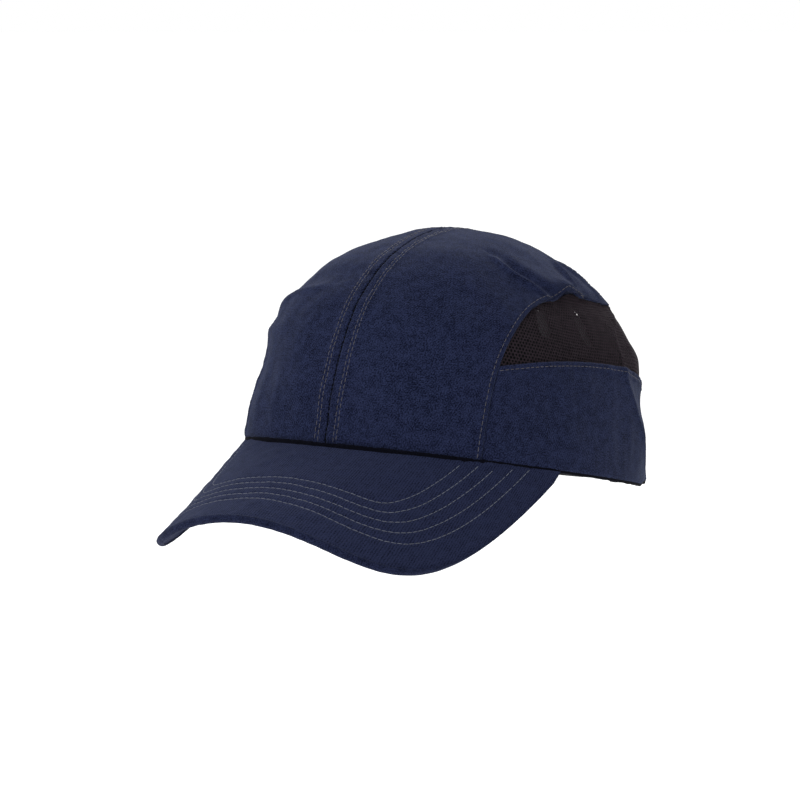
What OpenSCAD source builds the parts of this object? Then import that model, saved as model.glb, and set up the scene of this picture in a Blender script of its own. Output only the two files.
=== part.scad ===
// Bump cap: a cloth cap with a peak, worn over a removable impact shell.
// +Z is up as worn, the peak points to -Y and the wearer's left is +X.
// The origin is the centre of the head opening, in the plane of the hem.
// Every piece is drawn square to the hem plane and then pitched as worn.

/* [Crown] */
// Half the width of the cap at the hem
crown_half_w = 90; // [86:0.5:94]
// Half the length of the cap at the hem
crown_half_l = 107; // [103:0.5:111]
// Height of the crown above the hem plane
crown_h = 113.5; // [108:0.5:119]
// How square the cap is seen from above
plan_power = 2.18; // [2:0.02:2.4]
// How upright the walls stay before they turn in
wall_power = 2.7; // [2.4:0.05:3]
// How flat the top is
top_power = 1.9; // [1.8:0.05:2.1]
// Backward tilt of the hem plane as worn
hem_pitch = 12; // [0:1:14]

/* [Cover] */
// Thickness of the cotton twill
cloth_t = 0.9; // [0.6:0.1:1.2]
// Distance of the two long crown seams from the middle
seam_x = 66; // [62:1:70]
// Gap left at every seam between two panels
seam_gap = 0.5; // [0.4:0.1:0.8]
// Height of the side band at its front corner
band_front_z = 44; // [40:1:48]
// Height of the side band above the ear
band_side_z = 54; // [50:1:58]
// Height of the side band at the middle of the back
band_rear_z = 45; // [43:1:49]
// Heading of the seam between side mesh and rear mesh
mesh_seam_th = 120; // [112:1:128]
// Height of the arch above the rear strap
arch_h = 36; // [33:1:38]
// Half the angle that the arch spans
arch_half_th = 20; // [18:0.5:21]
// Depth of the binding under the hem
hem_binding_h = 1.4; // [1:0.1:1.6]
// Width of the tape behind the centre seam
tape_w = 12; // [8:1:16]

/* [Peak] */
// Length of the peak along its middle
peak_l = 69.5; // [60:0.5:76]
// Slope of the peak below the hem plane
peak_slope = 31; // [27:0.5:36]
// Extra slope that the sides gain as the peak arches
peak_arch = 0.83; // [0.5:0.01:0.9]
// How much the sides reach past the middle
peak_corner = 1.9; // [1.4:0.1:2]
// How much further the two corners reach
peak_square = 0.65; // [0.4:0.05:1]
// Heading at which the peak ends
peak_end_th = 66; // [60:1:68]
// Thickness of the peak board
board_t = 1.5; // [1.2:0.1:1.8]
// Width of the bound edge of the peak
peak_bead_w = 2.2; // [1.8:0.1:2.6]

/* [Insert] */
// Gap from the outside of the cap to the shell
shell_gap = 2.8; // [2.8:0.1:3.4]
// Thickness of the shell
shell_t = 2.2; // [1.6:0.1:2.4]
// Height of the shell's lower edge at the front and sides
shell_low_z = 10; // [8:1:14]
// Height of the shell's edge above the rear strap
shell_rear_z = 54; // [54:1:58]
// Thickness of the foam pads
pad_t = 6; // [4:0.5:8]
// Thickness of the sweatband
sweatband_t = 3; // [2:0.5:4]
// Height of the sweatband
sweatband_h = 32; // [26:1:34]

/* [Rear strap] */
// Outer radius of the strap's arc
strap_r = 86; // [84:0.5:87]
// Width of the strap
strap_w = 18; // [15:1:19]
// Thickness of the strap webbing
strap_t = 1.3; // [1:0.1:1.4]
// Thickness of each hook-and-loop patch
patch_t = 0.5; // [0.4:0.1:0.6]

/* [Hidden] */

navy = [0.13, 0.15, 0.25];
dark_navy = [0.09, 0.10, 0.18];
mesh_brown = [0.16, 0.13, 0.15];
shell_grey = [0.20, 0.21, 0.23];
foam_grey = [0.32, 0.33, 0.35];
webbing_black = [0.08, 0.08, 0.09];

// The strap's arc touches the inside of the cloth at the middle of the back.
strap_clear = 1.3;
strap_axis_y = crown_half_l - cloth_t - strap_clear - strap_r;
strap_low_z = 2;
layer_gap = 0.3;
glue_gap = 0.05;
tip_start = -4;
tip_end = 17;
fixed_start = -40;
sliding_start = -20;
sliding_end = 40;

// Heading th is 0 at the front, 90 at the wearer's left and 180 at the back.
// Distance from the axis to the hem at a heading
function hem_radius(th) =
    pow(pow(abs(sin(th)) / crown_half_w, plan_power) + pow(abs(cos(th)) / crown_half_l, plan_power),
        -1 / plan_power);
// Share of the hem radius that the crown keeps at a height
function reach(z) = pow(1 - pow(max(z, 0) / crown_h, wall_power), 1 / top_power);
// Height at which the crown keeps a share of its hem radius
function height(share) = crown_h * pow(max(0, 1 - pow(min(share, 1), top_power)), 1 / wall_power);
// Point of the outer surface at a heading and a height
function at_height(th, z) =
    let(r = hem_radius(th) * reach(z)) [r * sin(th), -r * cos(th), z];
// Point of the outer surface over a place in the plan
function over_plan(x, y) =
    let(share = pow(pow(abs(x) / crown_half_w, plan_power) + pow(abs(y) / crown_half_l, plan_power),
                    1 / plan_power))
    [x, y, height(share)];
// The same point, moved in to a depth below the outer surface
function inward(p, depth) = [
    p.x * (crown_half_w - depth) / crown_half_w,
    p.y * (crown_half_l - depth) / crown_half_l,
    p.z * (crown_h - depth) / crown_h
];

// Heading, from low to high, at which the surface at height z lies at distance x from the middle
function heading_at(x, z, low, high, steps = 24) =
    let(mid = (low + high) / 2)
    steps == 0 ? mid
    : at_height(mid, z).x < x ? heading_at(x, z, mid, high, steps - 1)
    : heading_at(x, z, low, mid, steps - 1);
// Height of the long crown seam, in the plane at distance x and level across the back
function seam_height(th, x) =
    let(across = hem_radius(min(th, 90)) * sin(min(th, 90)))
    across <= x ? 0 : height(x / across);
// Height of the top of the side band
function band_top(th) =
    th < 90 ? band_side_z - (band_side_z - band_front_z) * pow((90 - th) / 46, 2)
    : band_side_z - (band_side_z - band_rear_z) * (1 - cos(2 * (th - 90))) / 2;
function blend(a, b, s) = a + (b - a) * s;
function smooth(s) = let(c = min(max(s, 0), 1)) c * c * (3 - 2 * c);

// Tilts a piece from the hem plane to the way the cap is worn
module worn() {
    rotate([-hem_pitch, 0, 0]) children();
}

// Closed sheet between two grids of points, with open cells left out.
// Rows run up, columns run to the wearer's left; a ring joins its last column to its first.
module sheet(outer, inner, ring = false, open = []) {
    rows = len(outer);
    cols = len(outer[0]);
    last = ring ? cols - 1 : cols - 2;
    half = rows * cols;
    function id(i, j) = i * cols + j % cols;
    function solid(i, j) =
        let(k = ring ? (j + cols) % cols : j)
        i >= 0 && i <= rows - 2 && k >= 0 && k <= last && len([for (o = open) if (o == [i, k]) o]) == 0;
    function wall(a, b) = [[a, b, b + half], [a, b + half, a + half]];
    quads = [for (i = [0 : rows - 2]) for (j = [0 : last]) if (solid(i, j)) [i, j]];
    faces = [for (q = quads)
        let(i = q[0], j = q[1],
            a = id(i, j), b = id(i + 1, j), c = id(i + 1, j + 1), d = id(i, j + 1))
        each concat(
            [[a, b, c], [a, c, d], [c + half, b + half, a + half], [d + half, c + half, a + half]],
            solid(i - 1, j) ? [] : wall(a, d),
            solid(i + 1, j) ? [] : wall(c, b),
            solid(i, j - 1) ? [] : wall(b, a),
            solid(i, j + 1) ? [] : wall(d, c))];
    polyhedron(concat([for (r = outer) each r], [for (r = inner) each r]), faces);
}

// Sheet that follows the crown from one depth to another
module skin(grid, depth, thick, ring = false, open = []) {
    sheet([for (r = grid) [for (p = r) inward(p, depth)]],
          [for (r = grid) [for (p = r) inward(p, depth + thick)]], ring, open);
}

// Grid of surface points between two heights that depend on the heading
function wall_grid(headings, low, high, rows) =
    [for (i = [0 : rows]) [for (k = [0 : len(headings) - 1])
        at_height(headings[k], blend(low[k], high[k], i / rows))]];
function steps(from, to, n) = [for (k = [0 : n]) blend(from, to, k / n)];

// Round bead along a path beside the crown
module bead(path, radius, sides = 8) {
    count = len(path);
    function along(i) = path[min(i + 1, count - 1)] - path[max(i - 1, 0)];
    function unit(v) = v / norm(v);
    ring_points = [for (i = [0 : count - 1])
        let(t = unit(along(i)), out = unit(cross(cross(t, [path[i].x, path[i].y, 0]), t)),
            side = cross(t, out))
        [for (k = [0 : sides - 1])
            path[i] + radius * (out * cos(360 * k / sides) + side * sin(360 * k / sides))]];
    faces = concat(
        [for (i = [0 : count - 2]) for (k = [0 : sides - 1])
            let(a = i * sides + k, b = i * sides + (k + 1) % sides)
            each [[a, b, b + sides], [a, b + sides, a + sides]]],
        [[for (k = [0 : sides - 1]) sides - 1 - k],
         [for (k = [0 : sides - 1]) (count - 1) * sides + k]]);
    polyhedron([for (r = ring_points) each r], faces);
}

// One half of the crown: from the hem over the top to the level seam at the back
module crown_half() {
    inner_x = seam_gap / 2;
    outer_x = seam_x - seam_gap / 2;
    share = outer_x / crown_half_w;
    columns = 10;
    rows = 22;
    grid = [for (i = [0 : rows]) [for (j = [0 : columns])
        let(x = blend(inner_x, outer_x, j / columns),
            across = pow(x / crown_half_w, plan_power),
            front = crown_half_l * pow(1 - across, 1 / plan_power),
            back = crown_half_l * pow(max(0, pow(share, plan_power) - across), 1 / plan_power),
            turn = blend(0, acos(-back / front), i / rows))
        over_plan(x, -front * cos(turn))]];
    skin(grid, 0, cloth_t);
}
module crown_panel_left() {
    color(navy) worn() crown_half();
}
module crown_panel_right() {
    color(navy) worn() mirror([1, 0, 0]) crown_half();
}

// Mesh between the long seam, the side band and the rear mesh
module side_mesh() {
    plane_x = seam_x + seam_gap / 2;
    tip_h = 1.5;
    first_z = band_front_z + tip_h + seam_gap;
    front = [for (z = steps(first_z, 72, 5)) heading_at(plane_x, z, 30, 90)];
    headings = concat(front, [for (k = [1 : 10])
        blend(front[5], mesh_seam_th - 0.15, k / 10)]);
    low = [for (th = headings) band_top(th) + seam_gap / 2];
    high = [for (th = headings) max(seam_height(th, plane_x), band_top(th) + tip_h)];
    skin(wall_grid(headings, low, high, 5), 0, cloth_t);
}
module side_mesh_left() {
    color(mesh_brown) worn() side_mesh();
}
module side_mesh_right() {
    color(mesh_brown) worn() mirror([1, 0, 0]) side_mesh();
}
module rear_mesh() {
    headings = steps(mesh_seam_th + 0.15, 360 - mesh_seam_th - 0.15, 18);
    low = [for (th = headings) band_top(min(th, 360 - th)) + seam_gap / 2];
    high = [for (th = headings) seam_height(90, seam_x + seam_gap / 2)];
    color(mesh_brown) worn() skin(wall_grid(headings, low, high, 5), 0, cloth_t);
}

// Twill band from the front seam, over the ear and round to the middle of the back
module side_band() {
    plane_x = seam_x + seam_gap / 2;
    lowest = 1.5;
    front = [for (z = steps(lowest, band_front_z, 4)) heading_at(plane_x, z, 30, 60)];
    arch_turns = steps(0, 90, 8);
    headings = concat(front,
        [for (k = [1 : 12]) blend(front[4], 180 - arch_half_th, k / 12)],
        [for (k = [1 : 8]) 180 - arch_half_th * cos(arch_turns[k]) - (k == 8 ? 0.15 : 0)]);
    low = [for (k = [0 : len(headings) - 1]) k <= 16 ? 0 : arch_h * sin(arch_turns[k - 16])];
    high = [for (k = [0 : len(headings) - 1])
        k < 4 ? seam_height(headings[k], plane_x) : band_top(headings[k]) - seam_gap / 2];
    skin(wall_grid(headings, low, high, 4), 0, cloth_t);
}
module side_band_left() {
    color(navy) worn() side_band();
}
module side_band_right() {
    color(navy) worn() mirror([1, 0, 0]) side_band();
}

// Tape behind the centre seam, from the hem to the back of the crown
module centre_seam_tape() {
    depth = 1.5;
    tape_t = 0.4;
    rows = 30;
    back = 0.7;
    grid = [for (i = [0 : rows]) [for (x = steps(-tape_w / 2, tape_w / 2, 2))
        let(front = crown_half_l * pow(1 - pow(abs(x) / crown_half_w, plan_power), 1 / plan_power))
        over_plan(x, -front * cos(blend(6, acos(-back), i / rows)))]];
    color(dark_navy) worn() skin(grid, depth, tape_t);
}

// Folded tape under the edge of the hem, open at the rear arch
module hem_binding() {
    depth = 0.3;
    wide = 1.7;
    end = 178 - arch_half_th;
    hem_grid = [for (z = [-seam_gap / 2 - hem_binding_h, -seam_gap / 2])
        [for (th = steps(-end, end, 52))
            let(r = hem_radius(th)) [r * sin(th), -r * cos(th), z]]];
    color(dark_navy) worn() skin(hem_grid, depth, wide);
}

// Rolled binding round the rear arch
module arch_binding() {
    radius = 1.1;
    inset = radius + 0.4;
    inset_th = inset * 360 / (2 * PI * crown_half_l);
    path = [for (turn = steps(4, 176, 24))
        inward(at_height(180 - (arch_half_th - inset_th) * cos(turn), (arch_h - inset) * sin(turn)),
               radius)];
    color(dark_navy) worn() bead(path, radius);
}

// The peak is a ruled sheet: straight lines that leave the hem and slope down to the front.
peak_drop = 2.4;
peak_out = 0.5;
peak_limit = 0.985;
peak_columns = 44;
function peak_base(th) =
    inward([hem_radius(th) * sin(th), -hem_radius(th) * cos(th), -peak_drop], -peak_out);
function peak_line(th) =
    let(side = peak_base(th).x / crown_half_w,
        v = [0, -cos(peak_slope), -sin(peak_slope) * (1 + peak_arch * side * side)])
    v / norm(v);
function peak_length(th) =
    let(s = pow(th / peak_end_th, 2)) peak_l * (1 + peak_corner * s + peak_square * s * s) * (1 - s);
function peak_up(th) =
    let(v = cross(peak_base(th + 1) - peak_base(th - 1), peak_line(th))) -v / norm(v);
function peak_point(th, distance, depth) =
    peak_base(th) + peak_line(th) * distance - peak_up(th) * depth;
peak_headings = steps(-peak_end_th * peak_limit, peak_end_th * peak_limit, peak_columns);

module peak_layer(depth, thick, inset) {
    rows = 5;
    function grid(d) = [for (i = [rows : -1 : 0]) [for (th = peak_headings)
        peak_point(th, blend(0, peak_length(th) - inset, i / rows), d)]];
    sheet(grid(depth), grid(depth + thick));
}
peak_cloth_t = 0.8;
board_depth = peak_cloth_t + 0.2;
under_depth = board_depth + board_t + 0.2;
peak_t = under_depth + peak_cloth_t;
module peak_upper_cloth() {
    color(navy) worn() peak_layer(0, peak_cloth_t, peak_bead_w + 0.2);
}
module peak_board() {
    color("gray") worn() peak_layer(board_depth, board_t, peak_bead_w + 1);
}
module peak_under_cloth() {
    color(navy) worn() peak_layer(under_depth, peak_cloth_t, peak_bead_w + 0.2);
}

// Rounded binding that closes the edge of the peak
module peak_edge_binding() {
    steps_round = 4;
    function section(th) =
        [for (k = [0 : steps_round])
            let(turn = 180 * k / steps_round)
            peak_point(th, peak_length(th) - peak_bead_w * (1 - sin(turn)),
                       peak_t / 2 - (peak_t / 2 + 0.2) * cos(turn))];
    function back(th) =
        [for (k = [0 : steps_round])
            peak_point(th, peak_length(th) - peak_bead_w,
                       blend(peak_t / 2 - 0.3, peak_t / 2 + 0.3, k / steps_round))];
    columns = [for (th = peak_headings) section(th)];
    backs = [for (th = peak_headings) back(th)];
    function turned(table) = [for (k = [steps_round : -1 : 0]) [for (c = table) c[k]]];
    color(dark_navy) worn() sheet(turned(columns), turned(backs));
}

// Hard shell with vent slots, a round top vent and a high arch above the rear strap
module impact_shell() {
    columns = 60;
    rows = 13;
    top_share = 0.08;
    arch_from = 112;
    arch_to = 134;
    headings = [for (k = [0 : columns - 1]) 360 * k / columns];
    low = [for (th = headings)
        blend(shell_low_z, shell_rear_z,
              smooth((min(th, 360 - th) - arch_from) / (arch_to - arch_from)))];
    grid = [for (i = [0 : rows]) [for (k = [0 : columns - 1])
        let(base = acos(pow(reach(low[k]), top_power / 2)),
            top = acos(pow(top_share, top_power / 2)),
            turn = blend(base, top, i / rows),
            r = hem_radius(headings[k]) * pow(cos(turn), 2 / top_power))
        [r * sin(headings[k]), -r * cos(headings[k]), crown_h * pow(sin(turn), 2 / wall_power)]]];
    slot_pitch = 4;
    lower_slots = [for (k = [2 : slot_pitch : columns - 1]) each [[4, k], [5, k]]];
    upper_slots = [for (k = [0 : slot_pitch : columns - 1]) each [[8, k], [9, k]]];
    color(shell_grey) worn() skin(grid, shell_gap, shell_t, true, concat(lower_slots, upper_slots));
}

// Foam pads stuck to the inside of the shell
pad_depth = shell_gap + shell_t + 0.4;
front_pad_half_th = 36;
side_pad_from_th = 56;
side_pad_to_th = 112;
rear_pad_half_th = 36;
pad_low_z = 38;
front_pad_top_z = 82;
side_pad_top_z = 80;
rear_pad_low_z = 58;
rear_pad_top_z = 86;
module wall_pad(from, to, low_z, high_z, columns) {
    headings = steps(from, to, columns);
    low = [for (th = headings) low_z];
    high = [for (th = headings) high_z];
    skin(wall_grid(headings, low, high, 3), pad_depth, pad_t);
}
module front_pad() {
    color(foam_grey) worn() wall_pad(-front_pad_half_th, front_pad_half_th, pad_low_z, front_pad_top_z, 10);
}
module side_pad_left() {
    color(foam_grey) worn() wall_pad(side_pad_from_th, side_pad_to_th, pad_low_z, side_pad_top_z, 8);
}
module side_pad_right() {
    color(foam_grey) worn() wall_pad(-side_pad_to_th, -side_pad_from_th, pad_low_z, side_pad_top_z, 8);
}
module rear_pad() {
    color(foam_grey) worn()
        wall_pad(180 - rear_pad_half_th, 180 + rear_pad_half_th, rear_pad_low_z, rear_pad_top_z, 10);
}
module crown_pad() {
    half_x = 38;
    half_y = 46;
    cells = 8;
    grid = [for (y = steps(-half_y, half_y, cells)) [for (x = steps(-half_x, half_x, cells))
        over_plan(x, y)]];
    color(foam_grey) worn() skin(grid, pad_depth, pad_t);
}
module sweatband() {
    end = 130;
    low_z = 1;
    headings = steps(-end, end, 44);
    low = [for (th = headings) low_z];
    high = [for (th = headings) low_z + sweatband_h];
    color(webbing_black) worn() skin(wall_grid(headings, low, high, 2), pad_depth, sweatband_t);
}

// Part of a ring round the strap's axis; angles run from the middle of the back to the left
module arc_band(outer_r, thick, from, to, inset = 0) {
    translate([0, strap_axis_y, strap_low_z + inset])
        rotate([0, 0, 90 - to])
            rotate_extrude(angle = to - from, $fn = 180)
                translate([outer_r - thick, 0])
                    square([thick, strap_w - 2 * inset]);
}
hook_r = strap_r - strap_t - glue_gap;
loop_r = hook_r - patch_t - layer_gap;
sliding_r = loop_r - patch_t - glue_gap;
patch_inset = 1.5;
module fixed_strap() {
    hinge_gap = 0.3;
    color(webbing_black) worn() arc_band(strap_r, strap_t, fixed_start, tip_start - hinge_gap);
}
module strap_tip() {
    color(webbing_black) worn() arc_band(strap_r, strap_t, tip_start, tip_end);
}
module hook_patch() {
    color("black") worn() arc_band(hook_r, patch_t, tip_start + 2, tip_end - 1, patch_inset);
}
module sliding_strap() {
    color(webbing_black) worn() arc_band(sliding_r, strap_t, sliding_start, sliding_end);
}
module loop_patch() {
    color("black") worn()
        arc_band(loop_r, patch_t, sliding_start + 1, tip_end + 3, patch_inset);
}

crown_panel_left();
crown_panel_right();
side_mesh_left();
side_mesh_right();
rear_mesh();
side_band_left();
side_band_right();
centre_seam_tape();
hem_binding();
arch_binding();
peak_upper_cloth();
peak_board();
peak_under_cloth();
peak_edge_binding();
fixed_strap();
impact_shell();
front_pad();
crown_pad();
side_pad_left();
side_pad_right();
rear_pad();
sweatband();
sliding_strap();
loop_patch();
strap_tip();
hook_patch();
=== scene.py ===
import math

import bpy
import numpy as np
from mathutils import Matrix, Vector


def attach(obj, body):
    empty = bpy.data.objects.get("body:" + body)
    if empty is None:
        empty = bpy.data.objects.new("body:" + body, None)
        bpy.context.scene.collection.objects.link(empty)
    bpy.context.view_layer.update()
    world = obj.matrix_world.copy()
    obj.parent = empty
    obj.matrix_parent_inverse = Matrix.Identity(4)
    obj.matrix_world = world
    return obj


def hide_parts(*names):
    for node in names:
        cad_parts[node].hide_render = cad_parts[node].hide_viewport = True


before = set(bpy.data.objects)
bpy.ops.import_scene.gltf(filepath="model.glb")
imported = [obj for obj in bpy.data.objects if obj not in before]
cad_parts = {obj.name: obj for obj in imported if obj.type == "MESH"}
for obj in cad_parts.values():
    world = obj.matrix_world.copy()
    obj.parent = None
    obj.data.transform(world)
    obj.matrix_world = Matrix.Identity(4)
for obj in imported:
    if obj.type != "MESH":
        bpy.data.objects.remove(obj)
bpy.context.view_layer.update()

# ---------------------------------------------------------------- dimensions
# Millimetres and degrees, square to the hem plane. to_world() pitches them as worn, in metres.
HALF_W, HALF_L, CROWN_H = 90.0, 107.0, 113.5
PLAN, WALL, TOP = 2.18, 2.7, 1.9
HEM_PITCH = 12.0
SEAM_X = 66.0
BAND_FRONT_Z, BAND_SIDE_Z, BAND_REAR_Z = 44.0, 54.0, 45.0
MESH_SEAM = 120.0
ARCH_H, ARCH_HALF = 36.0, 20.0
PEAK_L, PEAK_SLOPE, PEAK_ARCH = 69.5, 31.0, 0.83
PEAK_CORNER, PEAK_SQUARE, PEAK_END = 1.9, 0.65, 66.0
PEAK_DROP, PEAK_OUT, PEAK_T = 2.4, 0.5, 3.5
CLOTH_T = 0.9
SHELL_GAP, SHELL_T = 2.8, 2.2
SHELL_LOW, SHELL_REAR = 10.0, 54.0
PAD_DEPTH, PAD_T = 5.4, 6.0
BAND_T, BAND_LOW, BAND_HIGH = 3.0, 1.0, 33.0
STRAP_R, STRAP_T, STRAP_W, STRAP_LOW = 86.0, 1.3, 18.0, 2.0
STRAP_Y = HALF_L - 0.9 - 1.3 - STRAP_R
PATCH_T = 0.5
MM = 0.001

pitch = math.radians(HEM_PITCH)
WORN = np.array([[1, 0, 0], [0, math.cos(pitch), math.sin(pitch)], [0, -math.sin(pitch), math.cos(pitch)]])


def to_world(points):
    return np.asarray(points) @ WORN.T * MM


# ---------------------------------------------------------------- the crown's surface
def rad(degrees):
    return np.radians(degrees)


def hem_radius(th):
    s, c = np.abs(np.sin(rad(th))), np.abs(np.cos(rad(th)))
    return ((s / HALF_W) ** PLAN + (c / HALF_L) ** PLAN) ** (-1 / PLAN)


def reach(z):
    return (1 - (np.maximum(z, 0) / CROWN_H) ** WALL) ** (1 / TOP)


def height(share):
    return CROWN_H * np.maximum(0, 1 - np.minimum(share, 1) ** TOP) ** (1 / WALL)


def at_height(th, z):
    th, z = np.broadcast_arrays(np.asarray(th, float), np.asarray(z, float))
    r = hem_radius(th) * reach(z)
    return np.stack([r * np.sin(rad(th)), -r * np.cos(rad(th)), z], -1)


def over_plan(x, y):
    x, y = np.broadcast_arrays(np.asarray(x, float), np.asarray(y, float))
    share = ((np.abs(x) / HALF_W) ** PLAN + (np.abs(y) / HALF_L) ** PLAN) ** (1 / PLAN)
    return np.stack([x, y, height(share)], -1)


def inward(p, depth):
    size = np.array([HALF_W, HALF_L, CROWN_H])
    return p * (size - np.asarray(depth)[..., None]) / size


def heading_at(x, z, low=25.0, high=90.0):
    """Heading at which the surface at height z lies at distance x from the middle."""
    low, high = np.full(np.shape(z), low), np.full(np.shape(z), high)
    for _ in range(30):
        mid = (low + high) / 2
        short = at_height(mid, z)[..., 0] < x
        low, high = np.where(short, mid, low), np.where(short, high, mid)
    return (low + high) / 2


def band_top(th):
    front = BAND_SIDE_Z - (BAND_SIDE_Z - BAND_FRONT_Z) * ((90 - th) / 46) ** 2
    back = BAND_SIDE_Z - (BAND_SIDE_Z - BAND_REAR_Z) * (1 - np.cos(rad(2 * (th - 90)))) / 2
    return np.where(th < 90, front, back)


def smooth(s):
    c = np.clip(s, 0, 1)
    return c * c * (3 - 2 * c)


def bell(s):
    return np.exp(-s * s)


def heading(p):
    return np.degrees(np.arctan2(np.abs(p[..., 0]), -p[..., 1]))


def ripple(p, size, seed, count=12):
    """Smooth repeatable unevenness, about -1 to 1, with features of about that size."""
    rng = np.random.default_rng(seed)
    k = rng.normal(size=(count, 3))
    k *= (2 * np.pi / size * rng.uniform(0.7, 1.4, count) / np.linalg.norm(k, axis=1))[:, None]
    return np.sin(p @ k.T + rng.uniform(0, 2 * np.pi, count)).sum(-1) / math.sqrt(count)


# Folds in the twill: places in the plan along the crest, width, height, and depth of the hollow behind it
FOLDS = [
    ([(41, -43), (47, -43), (53, -41), (58, -37), (63, -32), (67, -27)], 2.2, 1.8, 2.4),
    ([(45, 5), (50, 2), (56, -1), (62, -2)], 1.9, 2.7, 2.4),
    ([(42, 16), (48, 18), (54, 19), (64, 20)], 1.7, 2.0, 1.9),
    ([(46, 32), (55, 30), (62, 33)], 2.4, 0.9, 0.5),
    ([(-24, -84), (-36, -80), (-47, -74), (-60, -67)], 3.2, 1.5, 0.9),
    ([(-47, -16), (-56, -20), (-64, -27)], 2.2, 1.0, 0.8),
    ([(-40, 20), (-52, 17), (-63, 19)], 2.6, 0.9, 0.6),
]


def fold_ridges(p):
    total = 0
    for places, width, rise, hollow in FOLDS:
        crest = over_plan(*np.array(places, float).T)
        best = np.full(p.shape[:-1], 1e9)
        signed, along = np.zeros(p.shape[:-1]), np.zeros(p.shape[:-1])
        spans = len(crest) - 1
        for k in range(spans):
            d = crest[k + 1] - crest[k]
            t = np.clip(((p - crest[k]) @ d) / (d @ d), 0, 1)
            off = p - crest[k] - t[..., None] * d
            gap = np.linalg.norm(off, axis=-1)
            near = gap < best
            best = np.where(near, gap, best)
            signed = np.where(near, gap * np.sign(off[..., 1]), signed)
            along = np.where(near, (k + t) / spans, along)
        fade = np.sin(np.pi * np.clip(0.12 + 0.8 * along, 0, 1)) ** 0.8
        behind = bell((signed - 2.4 * width) / (1.9 * width))
        total = total + fade * (rise * bell(best / width) - hollow * behind)
    return total


def flattening(p):
    """The sides lie flat between the long seam and the crease behind the ear."""
    th, z = heading(p), p[..., 2]
    crease = 102 + 28 * np.maximum(0, 1 - z / 50) ** 1.3 + 17 * smooth((z - 66) / 20)
    t = np.clip((th - 44) / (crease - 44), 0, 1)
    beyond = smooth((th - crease) / 13) * (1 - smooth((th - 138) / 16))
    waist = 1.7 * bell((z - 62) / 8) - 2.6 * bell((z - 36) / 15) - 0.8 * bell((z - 18) / 7)
    rear = beyond * (waist + 4.6 * bell((z + 2) / 8))
    fold = 0.9 * np.exp(-np.abs(th - crease) / 1.8) * smooth((z - 2) / 12)
    low = -2.9 * 4 * t * (1 - t) * smooth((z + 8) / 40)
    return (low + rear + fold) * (1 - smooth((z - 80) / 9))


def crown_relief(p):
    """How far the cloth stands off the even surface, in millimetres, at points of that surface."""
    th, z = heading(p), p[..., 2]
    corner = bell((th - 45) / 20) * (p[..., 0] < 0)
    shell_edge = corner * (1.9 * bell((z - 68) / 8) + 1.5 * bell((z - 53) / 4))
    hollow = -2.9 * bell((th - 50) / 30) * (p[..., 0] < 0) * bell((z - 33) / 16)
    calm = smooth(z / 12)
    loose = 0.45 * ripple(p, 46, 3) + 0.22 * ripple(p, 19, 4) + 0.07 * ripple(p, 8, 5)
    return flattening(p) + (shell_edge + hollow + fold_ridges(p) + loose) * calm


def seam_drift(p):
    """How far the long seam is pulled up by the folds that end on it."""
    y = p[..., 1]
    pull = 1 + 2.4 * bell((y + 12) / 5) - 1.2 * bell((y + 25) / 6) - 0.6 * bell((y - 12) / 9)
    pull = pull + 2.2 * smooth((y - 18) / 20)
    return pull * (p[..., 0] > 0) + (p[..., 0] < 0) * (1.5 * bell((y + 20) / 6) - 1.2 * bell((y - 5) / 8))


# ---------------------------------------------------------------- meshes from grids
def arc(p, axis):
    """Distance walked along one axis of a grid from its start."""
    step = np.linalg.norm(np.diff(p, axis=axis), axis=-1)
    zero = np.zeros_like(np.take(step, [0], axis=axis))
    return np.cumsum(np.concatenate([zero, step], axis=axis), axis=axis)


def walked(points):
    """Distance walked along a line of points from its start."""
    return arc(points[:, None], 0)[:, 0]


def new_object(name, verts, faces, uv=None, material=None):
    """Mesh object from points in millimetres, square to the hem plane."""
    mesh = bpy.data.meshes.new(name)
    mesh.from_pydata(to_world(verts).tolist(), [], [tuple(f) for f in faces])
    if uv is not None:
        layer = mesh.uv_layers.new(name="cloth")
        index = np.empty(len(mesh.loops), np.int32)
        mesh.loops.foreach_get("vertex_index", index)
        layer.data.foreach_set("uv", np.asarray(uv, np.float32)[index].ravel())
    mesh.polygons.foreach_set("use_smooth", [True] * len(mesh.polygons))
    mesh.update()
    obj = bpy.data.objects.new(name, mesh)
    bpy.context.scene.collection.objects.link(obj)
    if material:
        mesh.materials.append(material)
    return obj


def grid_faces(rows, cols, ring=False, solid=None):
    i, j = np.meshgrid(np.arange(rows - 1), np.arange(cols if ring else cols - 1), indexing="ij")
    if solid is not None:
        i, j = i[solid], j[solid]
    i, j = i.ravel(), j.ravel()
    k = (j + 1) % cols
    return np.stack([i * cols + j, i * cols + k, (i + 1) * cols + k, (i + 1) * cols + j], 1)


def rim_faces(faces, half):
    """Walls between the outer and inner copies of a sheet, along each edge that one face uses."""
    edges = np.concatenate([faces[:, [k, (k + 1) % 4]] for k in range(4)])
    key = np.sort(edges, axis=1)
    _, first, count = np.unique(key, axis=0, return_index=True, return_counts=True)
    e = edges[first[count == 1]]
    return np.stack([e[:, 1], e[:, 0], e[:, 0] + half, e[:, 1] + half], 1)


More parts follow.
